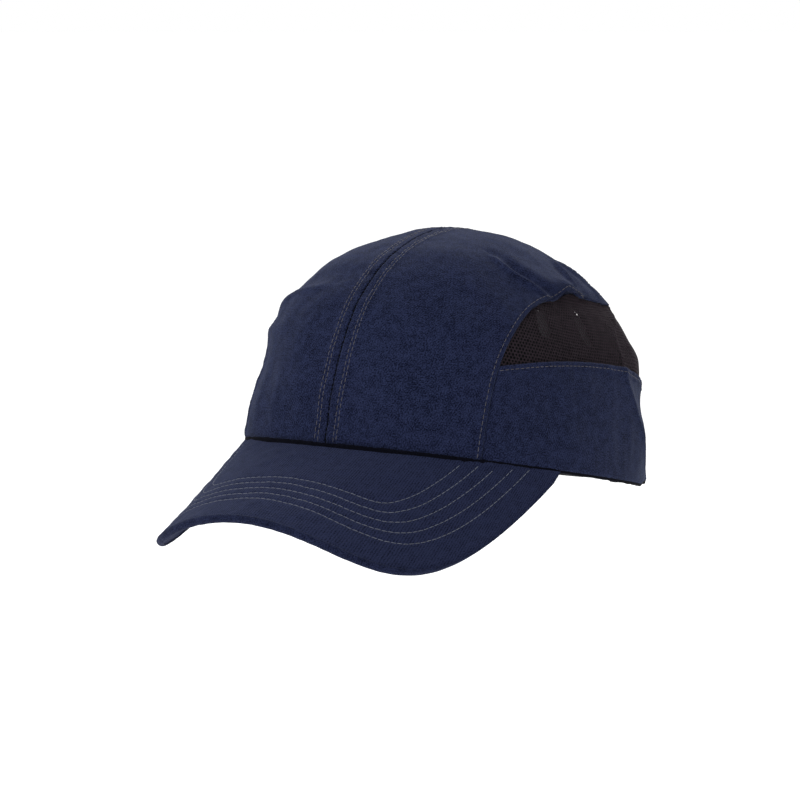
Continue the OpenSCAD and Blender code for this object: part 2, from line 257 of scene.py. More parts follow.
def sheet_object(name, outer, inner, uv=None, ring=False, solid=None, material=None):
    """Closed sheet between two grids of points."""
    rows, cols = outer.shape[:2]
    faces = grid_faces(rows, cols, ring, solid)
    half = rows * cols
    everything = np.concatenate([faces, faces[:, ::-1] + half, rim_faces(faces, half)])
    verts = np.concatenate([outer.reshape(-1, 3), inner.reshape(-1, 3)])
    if solid is not None:
        used = np.unique(everything)
        renumber = np.full(len(verts), -1)
        renumber[used] = np.arange(len(used))
        everything, verts = renumber[everything], verts[used]
        uv = None if uv is None else np.concatenate([uv.reshape(-1, 2)] * 2)[used]
    elif uv is not None:
        uv = np.concatenate([uv.reshape(-1, 2)] * 2)
    return new_object(name, verts, everything, uv, material)


def crossing(p, n, field, value, axis=1):
    """The line on a grid along which a field that grows along one axis reaches a value."""
    if axis == 0:
        p, n, field = p.transpose(1, 0, 2), n.transpose(1, 0, 2), field.T
    points, ups = [], []
    for row, up, f in zip(p, n, field):
        if f.min() <= value <= f.max():
            order = np.argsort(f)
            points.append([np.interp(value, f[order], row[order, c]) for c in range(3)])
            ups.append([np.interp(value, f[order], up[order, c]) for c in range(3)])
    return np.array(points), np.array(ups)


def nearest(p, line):
    """Shortest distance of points from a line of close points."""
    parts = np.array_split(p.reshape(-1, 3), 80)
    gaps = [np.sqrt(((part[:, None] - line[None]) ** 2).sum(-1).min(1)) for part in parts]
    return np.concatenate(gaps).reshape(p.shape[:-1])


def resample(points, ups, spots):
    run = walked(points)
    at = np.stack([np.interp(spots, run, points[:, c]) for c in range(3)], -1)
    up = np.stack([np.interp(spots, run, ups[:, c]) for c in range(3)], -1)
    return at, up / np.linalg.norm(up, axis=-1, keepdims=True), run[-1]


def stitch_row(points, ups, pitch=3.0, length=2.2, radius=0.17, lift=0.13, sides=6, rings=6):
    """Vertices and faces of a row of thread stitches that dip into the cloth at both ends."""
    total = np.linalg.norm(np.diff(points, axis=0), axis=1).sum()
    count = int(total / pitch)
    start = (total - count * pitch) / 2 + (pitch - length) / 2 + pitch * np.arange(count)
    t = np.linspace(0, 1, rings)
    centre, up, _ = resample(points, ups, start[:, None] + length * t[None])
    centre = centre + up * (lift * (1.35 * np.sin(np.pi * t) - 0.9))[None, :, None]
    forward = np.gradient(centre, axis=1)
    forward /= np.linalg.norm(forward, axis=-1, keepdims=True)
    side = np.cross(forward, up)
    side /= np.linalg.norm(side, axis=-1, keepdims=True)
    a = np.linspace(0, 2 * np.pi, sides, endpoint=False)
    ring = side[:, :, None] * np.cos(a)[:, None] + up[:, :, None] * np.sin(a)[:, None]
    verts = (centre[:, :, None] + radius * ring).reshape(-1, 3)
    faces = []
    for s in range(count):
        base = s * rings * sides
        for r in range(rings - 1):
            for k in range(sides):
                a0, a1 = base + r * sides + k, base + r * sides + (k + 1) % sides
                faces.append((a0, a1, a1 + sides, a0 + sides))
        faces.append(tuple(base + k for k in range(sides))[::-1])
        faces.append(tuple(base + (rings - 1) * sides + k for k in range(sides)))
    return verts, faces


def stitches(name, body, rows, material, **options):
    """One object for all rows of stitching of a seam."""
    verts, faces, start = [], [], 0
    for points, ups in rows:
        if len(points) > 3:
            v, f = stitch_row(points, ups, **options)
            faces += [tuple(i + start for i in face) for face in f]
            verts.append(v)
            start += len(v)
    obj = new_object(name, np.concatenate(verts), faces, None, material)
    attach(obj, body)


# ---------------------------------------------------------------- materials
class Nodes:
    """Short way to write a material's node tree."""

    def __init__(self, name):
        self.material = bpy.data.materials.new(name)
        self.material.use_nodes = True
        self.tree = self.material.node_tree
        self.shader = self.tree.nodes["Principled BSDF"]

    def put(self, socket, value):
        if isinstance(value, bpy.types.NodeSocket):
            self.tree.links.new(value, socket)
        elif isinstance(value, (tuple, list)) and len(value) == 3 and socket.type == "RGBA":
            socket.default_value = (*value, 1)
        else:
            socket.default_value = value

    def math(self, operation, a, b=0.0, clamp=False):
        node = self.tree.nodes.new("ShaderNodeMath")
        node.operation, node.use_clamp = operation, clamp
        self.put(node.inputs[0], a)
        self.put(node.inputs[1], b)
        return node.outputs[0]

    def uv(self):
        node = self.tree.nodes.new("ShaderNodeUVMap")
        node.uv_map = "cloth"
        split = self.tree.nodes.new("ShaderNodeSeparateXYZ")
        self.put(split.inputs[0], node.outputs[0])
        return node.outputs[0], split.outputs[0], split.outputs[1]

    def place(self):
        return self.tree.nodes.new("ShaderNodeTexCoord").outputs["Object"]

    def scaled(self, vector, scale):
        node = self.tree.nodes.new("ShaderNodeMapping")
        node.inputs["Scale"].default_value = scale
        self.put(node.inputs["Vector"], vector)
        return node.outputs[0]

    def noise(self, vector, scale, detail=3.0, rough=0.6):
        node = self.tree.nodes.new("ShaderNodeTexNoise")
        node.inputs["Scale"].default_value = scale
        node.inputs["Detail"].default_value = detail
        node.inputs["Roughness"].default_value = rough
        self.put(node.inputs["Vector"], vector)
        return node.outputs["Fac"]

    def wave(self, phase):
        turned = self.math("MULTIPLY", phase, 2 * math.pi)
        return self.math("MULTIPLY_ADD", self.math("COSINE", turned), 0.5)

    def mix(self, factor, a, b):
        node = self.tree.nodes.new("ShaderNodeMix")
        node.data_type = "RGBA"
        self.put(node.inputs["Factor"], factor)
        self.put(node.inputs[6], a)
        self.put(node.inputs[7], b)
        return node.outputs[2]

    def bump(self, heights, distance, strength=1.0):
        node = self.tree.nodes.new("ShaderNodeBump")
        node.inputs["Distance"].default_value = distance
        node.inputs["Strength"].default_value = strength
        self.put(node.inputs["Height"], heights)
        self.put(self.shader.inputs["Normal"], node.outputs[0])

    def set(self, **values):
        for name, value in values.items():
            self.put(self.shader.inputs[name.replace("_", " ")], value)
        return self.material


def twill(name, dark, light, wale=1.15, angle=63.0, depth=0.00012, float_l=2.0, ribs=0.42, sheen=0.085,
          wander=0.55):
    """Brushed cotton twill: slanting wales, broken by the yarn, with slubs and slight fading."""
    m = Nodes(name)
    uv, u, v = m.uv()
    c, s = math.cos(math.radians(angle)), math.sin(math.radians(angle))
    uneven = m.noise(m.scaled(uv, (0.9, 0.9, 1)), 1.0, 2.0)
    across = m.math("ADD", m.math("MULTIPLY", u, s / wale), m.math("MULTIPLY", v, -c / wale))
    across = m.math("ADD", across, m.math("MULTIPLY", uneven, wander))
    along = m.math("ADD", m.math("MULTIPLY", u, c / float_l), m.math("MULTIPLY", v, s / float_l))
    along = m.math("ADD", along, m.math("MULTIPLY", across, 0.5))
    wales = m.math("ADD", m.wave(across), 0.5)
    yarns = m.math("ADD", m.wave(along), 0.5)
    fibre = m.noise(m.scaled(uv, (2.4, 2.4, 1)), 1.0, 4.0, 0.75)
    speck = m.noise(m.scaled(uv, (1.45, 1.45, 1)), 1.0, 3.0, 0.85)
    speck = m.math("MULTIPLY", m.math("SUBTRACT", speck, 0.5), 6.5)
    cloud = m.noise(m.scaled(uv, (0.22, 0.22, 1)), 1.0, 3.0, 0.7)
    speck = m.math("ADD", speck, m.math("MULTIPLY", m.math("SUBTRACT", cloud, 0.5), 1.7))
    slub = m.noise(m.scaled(uv, (0.16, 1.1, 1)), 1.0, 3.0)
    worn = m.noise(m.place(), 26.0, 4.0, 0.65)
    heights = m.math("ADD", m.math("MULTIPLY", wales, 0.62), m.math("MULTIPLY", yarns, 0.18))
    heights = m.math("ADD", heights, m.math("MULTIPLY", fibre, 0.55))
    tone = m.math("MULTIPLY", m.math("SUBTRACT", heights, 0.68), ribs)
    tone = m.math("ADD", tone, m.math("MULTIPLY", slub, 0.26))
    tone = m.math("ADD", tone, m.math("MULTIPLY", worn, 0.55))
    tone = m.math("ADD", tone, speck)
    tone = m.math("SUBTRACT", tone, 0.06, clamp=True)
    m.bump(heights, depth, 0.9)
    return m.set(Base_Color=m.mix(tone, dark, light), Roughness=0.95, Sheen_Weight=sheen,
                 Sheen_Roughness=0.42, Sheen_Tint=(0.62, 0.70, 0.98), Specular_IOR_Level=0.05)


def plain(name, colour, light, rough=0.6, grain=900.0, depth=0.00004, **values):
    """Fine-grained surface with slight variation of colour."""
    m = Nodes(name)
    place = m.place()
    grains = m.noise(place, grain, 3.0)
    patches = m.noise(place, 40.0, 4.0)
    m.bump(grains, depth, 0.7)
    tone = m.math("ADD", m.math("MULTIPLY", grains, 0.4), m.math("MULTIPLY", patches, 0.6))
    return m.set(Base_Color=m.mix(tone, colour, light), Roughness=rough, **values)


def webbing(name, dark, light, pitch_u=1.1, pitch_v=0.8):
    m = Nodes(name)
    uv, u, v = m.uv()
    a = m.wave(m.math("ADD", m.math("MULTIPLY", u, 1 / pitch_u), m.math("MULTIPLY", v, 0.5 / pitch_v)))
    b = m.wave(m.math("ADD", m.math("MULTIPLY", u, 1 / pitch_u), m.math("MULTIPLY", v, -0.5 / pitch_v)))
    weave = m.math("ADD", m.math("MAXIMUM", a, b), 0.5)
    fuzz = m.noise(m.scaled(uv, (2, 2, 1)), 1.0, 3.0)
    m.bump(m.math("ADD", weave, m.math("MULTIPLY", fuzz, 0.3)), 0.00018)
    return m.set(Base_Color=m.mix(weave, dark, light), Roughness=0.75, Sheen_Weight=0.15)


NAVY_DARK, NAVY_LIGHT = (0.0022, 0.0034, 0.013), (0.0215, 0.0285, 0.073)
PEAK_LIGHT = (0.0195, 0.0250, 0.062)
TWILL = twill("navy twill", NAVY_DARK, NAVY_LIGHT)
PEAK_TWILL = twill("navy twill of the peak", NAVY_DARK, PEAK_LIGHT, wale=1.3, angle=86.0,
                   depth=0.0002, ribs=1.3, wander=0.2)
EDGE_TWILL = twill("navy twill of the edge", NAVY_DARK, PEAK_LIGHT, angle=86.0)
# Near-black hem tape: a dark binding whose colour also paints the shade in the gap between the crown's hem and
# the peak.
HEM_TAPE_AND_SHADE = twill("hem tape with painted shade", (0.0015, 0.0015, 0.003), (0.004, 0.0045, 0.010), wale=0.9, angle=30,
                  sheen=0.0)
BINDING = twill("navy binding tape", (0.0025, 0.0032, 0.010), (0.010, 0.0125, 0.034), wale=0.9, angle=30)
MESH_KNIT = plain("knitted mesh", (0.0120, 0.0082, 0.0112), (0.0390, 0.0270, 0.0365), 0.85, 1500, 0.00005,
                  Sheen_Weight=0.03, Sheen_Roughness=0.5, Specular_IOR_Level=0.15)
THREAD_GREY = plain("grey thread", (0.034, 0.032, 0.040), (0.115, 0.108, 0.128), 0.7, 2500, 0.00003)
THREAD_BLUE = plain("pale blue thread", (0.06, 0.067, 0.09), (0.16, 0.175, 0.23), 0.7, 2500, 0.00003)
# Near-black thread: on the arch binding it is plain thread; in the centre seam's ditch its colour also paints
# the shade where the stitches pull the seam in.
THREAD_BLACK_AND_SEAM_SHADE = plain("black thread and painted seam shade", (0.001, 0.001, 0.0012), (0.003, 0.003, 0.0035), 0.9, 2500, 0.00003,
                     Specular_IOR_Level=0.05)
SHELL = plain("shell plastic", (0.0040, 0.0042, 0.0055), (0.0075, 0.0080, 0.0105), 0.5, 700, 0.00003,
              Specular_IOR_Level=0.12)
FOAM = plain("foam", (0.035, 0.037, 0.042), (0.075, 0.078, 0.085), 0.85, 1100, 0.00012)
WEBBING = webbing("black webbing", (0.006, 0.006, 0.007), (0.03, 0.03, 0.033))
TERRY = plain("sweatband terry", (0.010, 0.010, 0.012), (0.05, 0.05, 0.055), 0.95, 1300, 0.0003,
              Sheen_Weight=0.4)
HOOKS = plain("hook and loop", (0.006, 0.006, 0.007), (0.03, 0.03, 0.032), 0.6, 1500, 0.0002)
BOARD = plain("peak board", (0.35, 0.35, 0.33), (0.45, 0.45, 0.43), 0.5)


# ---------------------------------------------------------------- points on the finished cloth
def surface_normal(p):
    """Outward unit normal of the crown's even surface."""
    x, y, z = p[..., 0], p[..., 1], np.maximum(p[..., 2], 0)
    share = ((np.abs(x) / HALF_W) ** PLAN + (np.abs(y) / HALF_L) ** PLAN) ** (1 / PLAN)
    share = np.maximum(share, 1e-4)
    slope = TOP * share ** (TOP - PLAN)
    n = np.stack([slope * (np.abs(x) / HALF_W) ** (PLAN - 1) / HALF_W * np.sign(x),
                  slope * (np.abs(y) / HALF_L) ** (PLAN - 1) / HALF_L * np.sign(y),
                  WALL * (z / CROWN_H) ** (WALL - 1) / CROWN_H], -1)
    return n / np.linalg.norm(n, axis=-1, keepdims=True)


def stand_off(p, rise):
    """Points of the cloth, that much above the crown's relief."""
    return p + surface_normal(p) * (crown_relief(p) + rise)[..., None]


def span(start, end, pitch):
    return np.linspace(start, end, max(2, int(round(abs(end - start) / pitch)) + 1))


def ditch(distance, width, depth):
    return -depth * bell(distance / width)


def lap(distance, width, rise, edge=0.5):
    """Extra height over the folded-in seam allowance, from the edge to the stitched width."""
    return rise * smooth(distance / edge) * (1 - smooth((distance - width + edge) / (2 * edge)))


def mirrored(p, sign):
    return p * np.array([sign, 1, 1])


def stand_in(obj, node, body):
    """The object takes a CAD node's place and its body."""
    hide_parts(node)
    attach(obj, body)


def cover_piece(obj, node):
    stand_in(obj, node, "cover")


# ---------------------------------------------------------------- crown panels
CENTRE_ROWS, SIDE_ROW, BAND_ROW = (4.2, 5.9), 2.2, 2.2


def crown_grid():
    xs = np.concatenate([span(0.15, 8, 0.55)[:-1], span(8, 58, 1.25)[:-1], span(58, SEAM_X, 0.5)])
    share = SEAM_X / HALF_W
    across = (xs / HALF_W) ** PLAN
    front = HALF_L * (1 - across) ** (1 / PLAN)
    back = HALF_L * np.maximum(0, share ** PLAN - across) ** (1 / PLAN)
    s = np.concatenate([span(0, 0.035, 0.0022)[:-1], span(0.035, 0.94, 0.0046)[:-1], span(0.94, 1, 0.002)])
    turn = s[:, None] * np.arccos(-back / front)[None]
    return over_plan(np.broadcast_to(xs, turn.shape), -front * np.cos(turn))


def crown_panel(side, sign):
    even = mirrored(crown_grid(), sign)
    from_centre = np.abs(even[..., 0])
    u, v = arc(even, 1), arc(even, 0)
    from_side = nearest(even, even[:, -1])
    from_hem = even[..., 2]
    rise = lap(from_centre, CENTRE_ROWS[1] + 1, 0.35, 0.8) + ditch(from_centre, 0.45, 0.3)
    for row in CENTRE_ROWS:
        rise = rise + ditch(from_centre - row, 0.5, 0.22)
    rise = rise + lap(from_side, SIDE_ROW + 1.6, 0.4, 0.4) + ditch(from_side - SIDE_ROW, 0.55, 0.25)
    rise = rise + 0.18 * ripple(even, 5.2, 11) * (bell((from_centre - 3) / 3.5) + bell((from_side - 2) / 3))
    rise = rise - 0.7 * bell(from_hem / 0.8)
    outer = stand_off(even, rise)
    inner = outer - surface_normal(even) * CLOTH_T
    drift = seam_drift(even) * bell(from_side / 9) * smooth((even[..., 2] - 60) / 15)
    outer[..., 2] += drift
    inner[..., 2] += drift
    up = surface_normal(even)
    if sign < 0:
        outer, inner, up, u, v = outer[:, ::-1], inner[:, ::-1], up[:, ::-1], -u[:, ::-1], v[:, ::-1]
    uv = np.stack([u, v], -1)
    obj = sheet_object(f"crown_panel_cloth_{side}", outer, inner, uv, material=TWILL)
    fields = {"centre": from_centre, "side": from_side, "hem": from_hem}
    if sign < 0:
        fields = {k: f[:, ::-1] for k, f in fields.items()}
    rows = [crossing(outer, up, fields["centre"], row) for row in CENTRE_ROWS]
    side_rows = [crossing(outer, up, fields["side"], SIDE_ROW)]
    cover_piece(obj, f"crown_panel_{side}")
    stitches(f"centre_stitches_{side}", "cover", rows, THREAD_GREY)
    stitches(f"crown_edge_stitches_{side}", "cover", side_rows, THREAD_GREY)
    if sign > 0:
        # Thick near-black stitches in the seam's ditch: thread whose colour also paints the dotted shade of the
        # pulled-in seam.
        centre = crossing(outer, up, from_centre, 0.2)
        stitches("centre_seam_stitches", "cover", [(centre[0] * (0, 1, 1), centre[1])], THREAD_BLACK_AND_SEAM_SHADE,
                 pitch=2.3, length=1.2, radius=0.4, lift=0.24)


SIDES = (("left", 1), ("right", -1))
for name, direction in SIDES:
    crown_panel(name, direction)


# ---------------------------------------------------------------- side bands
def hem_low(th):
    """The hem rises slightly where it runs round to the back."""
    return 2.2 * smooth((np.abs(th) - 122) / 12)


def arch_low(th):
    turn = np.clip((180 - th) / ARCH_HALF, -1, 1)
    return np.maximum(hem_low(th), np.where(th > 180 - ARCH_HALF, ARCH_H * np.sqrt(1 - turn ** 2), 0))


def band_grid():
    s = np.concatenate([span(0, 0.05, 0.006)[:-1], span(0.05, 0.853, 0.0065)[:-1],
                        0.853 + 0.147 * (1 - np.cos(np.linspace(0, np.pi / 2, 34)))])
    t = np.concatenate([span(0, 0.1, 0.014)[:-1], span(0.1, 0.88, 0.02)[:-1], span(0.88, 1, 0.01)])
    z_guess = t * BAND_FRONT_Z
    front = heading_at(SEAM_X, z_guess)
    th = front[:, None] + (180 - front[:, None]) * s[None]
    z = arch_low(th) + (band_top(th) - arch_low(th)) * t[:, None]
    return at_height(th, z), th


def side_band(side, sign):
    even, th = band_grid()
    even = mirrored(even, sign)
    from_top = band_top(th) - even[..., 2]
    from_seam = np.abs(even[..., 0]) - SEAM_X + 1000 * (th > 90)
    from_hem = even[..., 2] - arch_low(th)
    rise = lap(from_top, BAND_ROW + 1.6, 0.4, 0.4) + ditch(from_top - BAND_ROW, 0.55, 0.25)
    rise = rise - 0.35 * bell(from_seam / 1.2)
    rise = rise + 0.18 * ripple(even, 5.2, 12) * bell((from_top - 2) / 3)
    rise = rise - 0.7 * bell(from_hem / 0.8)
    outer = stand_off(even, rise)
    up = surface_normal(even)
    inner = outer - up * CLOTH_T
    uv = np.stack([arc(even, 1), arc(even, 0)], -1)
    row = crossing(outer, up, from_top, BAND_ROW, axis=0)
    if sign < 0:
        outer, inner, uv = outer[:, ::-1], inner[:, ::-1], uv[:, ::-1] * (-1, 1)
    obj = sheet_object(f"side_band_cloth_{side}", outer, inner, uv, material=TWILL)
    cover_piece(obj, f"side_band_{side}")
    stitches(f"band_top_stitches_{side}", "cover", [row], THREAD_GREY)


for name, direction in SIDES:
    side_band(name, direction)


# ---------------------------------------------------------------- knitted mesh
MESH_PITCH, MESH_ROW = 1.85, 1.62
MESH_DEPTH, MESH_T, TUCK = 1.0, 0.3, 4.0
MESH_MID_TH, MESH_MID_Z = 100.0, 60.0
HOLE_TALL = 1.08


def knit(name, node, start, end, sign, hole):
    """Real openwork between two headings: one six-sided cell with a round hole per loop."""
    table_th = np.linspace(36, 324, 1200)
    walk = walked(at_height(table_th, MESH_MID_Z))
    table_z = np.linspace(38, 96, 240)
    rise = walked(at_height(MESH_MID_TH, table_z))
    level = height(SEAM_X / HALF_W)
    rows = int(rise[-1] / MESH_ROW)
    cols = int(walk[-1] / MESH_PITCH)
    j, i = np.meshgrid(np.arange(cols), np.arange(rows))
    u = (j + 0.5 * (i % 2)) * MESH_PITCH
    v = i * MESH_ROW
    th, z = np.interp(u, walk, table_th), np.interp(v, rise, table_z)
    p = at_height(th, z)
    folded = np.minimum(th, 360 - th)
    keep = (th > start) & (th < end) & (z > band_top(folded) - TUCK - 0.4)
    ahead = np.where(folded < 90, np.abs(p[..., 0]) > SEAM_X - TUCK, z < level + TUCK)
    keep &= ahead & (z < level + TUCK)
    u, v = u[keep], v[keep]
    a6 = np.radians(np.arange(12) * 30 + 90)
    far = np.where(np.arange(12) % 2 == 0, 1.0, math.cos(math.pi / 6))
    hex_u = MESH_PITCH / math.sqrt(3) * far * np.cos(a6)
    hex_v = MESH_ROW / 1.5 * far * np.sin(a6)
    rng = np.random.default_rng(21)
    size = hole * rng.uniform(0.86, 1.12, len(u))[:, None]
    off = rng.normal(0, 0.045, (len(u), 2))
    hole_u = u[:, None] + off[:, :1] + size * np.cos(a6)
    hole_v = v[:, None] + off[:, 1:] + size * HOLE_TALL * np.sin(a6)
    mid_u = u[:, None] + 0.55 * hex_u + 0.45 * size * np.cos(a6)
    mid_v = v[:, None] + 0.55 * hex_v + 0.45 * size * np.sin(a6)
    rim_u, rim_v = u[:, None] + hex_u, v[:, None] + hex_v

    def points(uu, vv, lift):
        q = at_height(np.interp(uu, walk, table_th), np.interp(vv, rise, table_z))
        return stand_off(mirrored(q, sign), lift)

    key = np.round(np.stack([rim_u.ravel(), rim_v.ravel()], -1) / 0.02).astype(np.int64)
    _, first, same = np.unique(key, axis=0, return_index=True, return_inverse=True)
    same = same.ravel()
    count = len(u) * 12
    rim = rim_u.ravel()[first], rim_v.ravel()[first]
    mid, edge = (mid_u.ravel(), mid_v.ravel()), (hole_u.ravel(), hole_v.ravel())
    depths = (0.06, -0.10, 0.12, MESH_T - 0.12, MESH_T, MESH_T)
    top = [points(*place, np.full(len(place[0]), -MESH_DEPTH - deep))
           for place, deep in zip((rim, mid, edge, edge, mid, rim), depths)]
    offsets = np.cumsum([0] + [len(q) for q in top])
    k = np.arange(count)
    n = (k // 12) * 12 + (k + 1) % 12
    layers, turned = [same, k, k, k, k, same], [same[n], n, n, n, n, same[n]]
    layers, turned = ([a + offset for a, offset in zip(part, offsets)] for part in (layers, turned))
    faces = np.concatenate([np.stack([layers[a], turned[a], turned[a + 1], layers[a + 1]], 1) for a in range(5)])
    outside = faces[:count, :2]
    pair = np.sort(outside, axis=1)
    _, where, times = np.unique(pair, axis=0, return_index=True, return_counts=True)
    e = outside[where[times == 1]]
    walls = np.stack([e[:, 1], e[:, 0], e[:, 0] + offsets[5], e[:, 1] + offsets[5]], 1)
    faces = np.concatenate([faces, walls])
    if sign < 0:
        faces = faces[:, ::-1]
    verts = np.concatenate(top)
    flat_uv = [np.stack([a.ravel(), b.ravel()], -1) for a, b in (rim, mid, edge, edge, mid, rim)]
    obj = new_object(name, verts, faces, np.concatenate(flat_uv), MESH_KNIT)
    cover_piece(obj, node)


for name, direction in SIDES:
    knit(f"side_mesh_knit_{name}", f"side_mesh_{name}", 36, MESH_SEAM, direction, 0.64)
knit("rear_mesh_knit", "rear_mesh", MESH_SEAM, 360 - MESH_SEAM, 1, 0.5)


# ---------------------------------------------------------------- tubes and tapes round edges
def tube(name, ring, uv, material, turned=False):
    """Closed tube through rings of points."""
    rows, cols = ring.shape[:2]
    faces = grid_faces(rows, cols, ring=True)
    faces = (faces[:, ::-1] if turned else faces).tolist()
    faces.append(list(range(cols)))
    faces.append([(rows - 1) * cols + k for k in range(cols)][::-1])
    return new_object(name, ring.reshape(-1, 3), faces, uv.reshape(-1, 2), material)


def swept(name, path, outs, ups, section, material):
    """Section, in (out, up) millimetres, carried along a path."""
    ring = path[:, None] + outs[:, None] * section[None, :, :1] + ups[:, None] * section[None, :, 1:]
    uv = np.stack(np.broadcast_arrays(arc(path[:, None], 0), walked(section)[None]), -1)
    return tube(name, ring, uv, material)


def rounded(half_out, half_up, corner, steps=5):
    """Rounded rectangle, counter-clockwise."""
    points = []
    for cx, cy, start in ((1, 1, 0), (-1, 1, 90), (-1, -1, 180), (1, -1, 270)):
        for a in np.radians(start + np.linspace(0, 90, steps)):
            points.append((cx * (half_out - corner) + corner * math.cos(a),
                           cy * (half_up - corner) + corner * math.sin(a)))
    return np.array(points)


def hem_tape():
    end = 178 - ARCH_HALF
    th = span(-end, end, 0.55)
    even = at_height(th, hem_low(th))
    out = surface_normal(even)
    past_peak = smooth((np.abs(th) - 60) / 8)
    centre = even + out * (flattening(even) - 1.45 - 0.3 * past_peak + 0.06 * ripple(even, 6, 32))[:, None]
    centre[:, 2] += 0.10 * ripple(even, 9, 31) - 0.8 + 0.95 * past_peak
    up = np.broadcast_to([0.0, 0, 1], centre.shape)
    # The tape's near-black colour also paints the shade in the gap between the hem and the peak.
    obj = swept("hem_binding_tape", centre, out, up, rounded(1.0, 1.4, 0.8), HEM_TAPE_AND_SHADE)
    stand_in(obj, "hem_binding", "cover")


def arch_tape():
    turn = span(4, 176, 0.9)
    radius = 1.15
    inset = radius + 0.25
    inset_th = math.degrees(inset / HALF_L)
    th = 180 - (ARCH_HALF - inset_th) * np.cos(rad(turn))
    z = (ARCH_H - inset) * np.sin(rad(turn))
    even = at_height(th, z)
    up = surface_normal(even)
    path = stand_off(even, -0.75 + 0.08 * ripple(even, 7, 33))
    along = np.gradient(path, axis=0)
    along /= np.linalg.norm(along, axis=1, keepdims=True)
    side = np.cross(along, up)
    obj = swept("arch_binding_tape", path, up, side, rounded(1.05, 1.9, 0.85), BINDING)
    stand_in(obj, "arch_binding", "cover")
    stitches("arch_stitches", "cover", [(path + up * 1.05 + side * 0.9, up)], THREAD_BLACK_AND_SEAM_SHADE)


hem_tape()
arch_tape()


def centre_tape():
    x = span(-6, 6, 0.8)
    front = HALF_L * (1 - (np.abs(x) / HALF_W) ** PLAN) ** (1 / PLAN)
    turn = rad(np.linspace(6, math.degrees(math.acos(-0.7)), 190))
    even = over_plan(np.broadcast_to(x, (190, len(x))), -front[None] * np.cos(turn)[:, None])
    rise = -1.5 + ditch(np.abs(even[..., 0]) - 4.6, 0.6, 0.15) + 0.12 * ripple(even, 6, 34)
    outer = even + surface_normal(even) * (crown_relief(even) * 0.6 + rise)[..., None]
    inner = outer - surface_normal(even) * 0.4
    uv = np.stack([arc(even, 1), arc(even, 0)], -1)
    obj = sheet_object("centre_seam_tape_cloth", outer, inner, uv, material=BINDING)
    cover_piece(obj, "centre_seam_tape")


centre_tape()


# ---------------------------------------------------------------- peak
def unit(v):
    return v / np.linalg.norm(v, axis=-1, keepdims=True)


def peak_base(th):
    r = hem_radius(th)
    p = np.stack([r * np.sin(rad(th)), -r * np.cos(rad(th)), np.full(np.shape(th), -PEAK_DROP)], -1)
    return inward(p, np.full(np.shape(th), -PEAK_OUT))


def peak_line(th):
    side = peak_base(th)[..., 0] / HALF_W
    s, c = math.sin(math.radians(PEAK_SLOPE)), math.cos(math.radians(PEAK_SLOPE))
    return unit(np.stack([0 * side, np.full(np.shape(side), -c), -s * (1 + PEAK_ARCH * side ** 2)], -1))


def peak_length(th):
    s = (th / PEAK_END) ** 2
    return PEAK_L * (1 + PEAK_CORNER * s + PEAK_SQUARE * s * s) * (1 - s)


def peak_up(th):
    return -unit(np.cross(peak_base(th + 1) - peak_base(th - 1), peak_line(th)))


def peak_point(th, distance, depth):
    th, distance, depth = np.broadcast_arrays(np.asarray(th, float), distance, depth)
    return peak_base(th) + peak_line(th) * distance[..., None] - peak_up(th) * depth[..., None]


BEAD_W, PEAK_TUCK = 1.9, 2.5
PEAK_LIMIT = 0.985
CLOTH_PEAK = 0.8
UNDER_DEPTH = 2.7


def row_offset(th, k):
    """Distance of stitch row k from the edge of the peak; row 5 is the nearest."""
    fifth = 13.0 + 6 * np.cos(rad(np.clip(th, -55, 55) * 90 / 55)) ** 2
    return fifth + (5 - k) * (5.2 + 0.5 * np.sin(rad(th)) ** 2)


def peak_grid():
    top = PEAK_END * PEAK_LIMIT
    th = span(-top, top, 0.5)
    share = np.linspace(0, 1, 160)
    length = peak_length(th) - BEAD_W + 0.5
    return th, -PEAK_TUCK + share[:, None] * (length + PEAK_TUCK)[None]


def peak_relief(th, distance, deep):
    p = peak_point(th, distance, 0)
    rim_th = np.linspace(-PEAK_END, PEAK_END, 500)
    from_edge = nearest(p, peak_point(rim_th, peak_length(rim_th), 0))
    rise = 0
    for k in range(1, 6):
        rise = rise + ditch(from_edge - row_offset(th, k), 0.75, deep)
    rise = rise + 0.16 * ripple(p, 34, 41) + 0.07 * ripple(p, 10, 42)
    rise = rise + 0.07 * ripple(p, 4.5, 43) * (from_edge < 42)
    return rise - 0.3 * bell((from_edge - BEAD_W) / 0.6), from_edge


def peak_cloth(name, node, depth, facing):
    th, distance = peak_grid()
    rise, from_edge = peak_relief(th[None], distance, 0.34)
    raised, sunk = (rise, 0 * rise) if facing > 0 else (0 * rise, rise)
    outer = peak_point(th[None], distance, depth - raised)
    inner = peak_point(th[None], distance, depth + CLOTH_PEAK + sunk)
    shown = outer if facing > 0 else inner
    up = np.broadcast_to(peak_up(th)[None] * facing, outer.shape)
    uv = np.stack([arc(peak_point(th[None], 0 * distance + 20, 0), 1), distance], -1)
    obj = sheet_object(name, outer[::-1], inner[::-1], uv[::-1], material=PEAK_TWILL)
    cover_piece(obj, node)
    rows = []
    for k in range(1, 6):
        rows.append(crossing(shown, up, row_offset(th, k)[None] - from_edge, 0, axis=0))
    stitches(name.replace("cloth_sheet", "stitches"), "cover", rows, THREAD_BLUE, length=2.6, radius=0.19)


peak_cloth("peak_upper_cloth_sheet", "peak_upper_cloth", 0.0, 1)
peak_cloth("peak_under_cloth_sheet", "peak_under_cloth", UNDER_DEPTH, -1)


